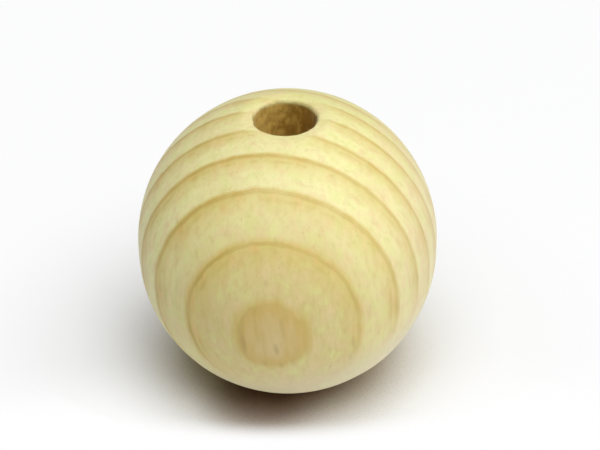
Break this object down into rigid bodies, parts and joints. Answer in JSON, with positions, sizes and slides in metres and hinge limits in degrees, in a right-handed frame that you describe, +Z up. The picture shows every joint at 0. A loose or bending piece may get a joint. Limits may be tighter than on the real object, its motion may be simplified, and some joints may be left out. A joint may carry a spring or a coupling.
{
  "type": "wooden bead",
  "caption": "Round turned wooden bead with a straight hole through it and a small flat land around each mouth.",
  "frame": {"origin": "centre of the lower end face, where the bead stands with its hole upright", "axes": "+Z up along the hole; the bead is round about Z; +X and +Y set only how the grain lies"},
  "size_m": [0.03, 0.03, 0.0296],
  "materials": {
    "wood": "sanded smooth, unfinished, matte"
  },
  "bodies": {
    "root": {"bead": "wood"}
  },
  "joints": []
}
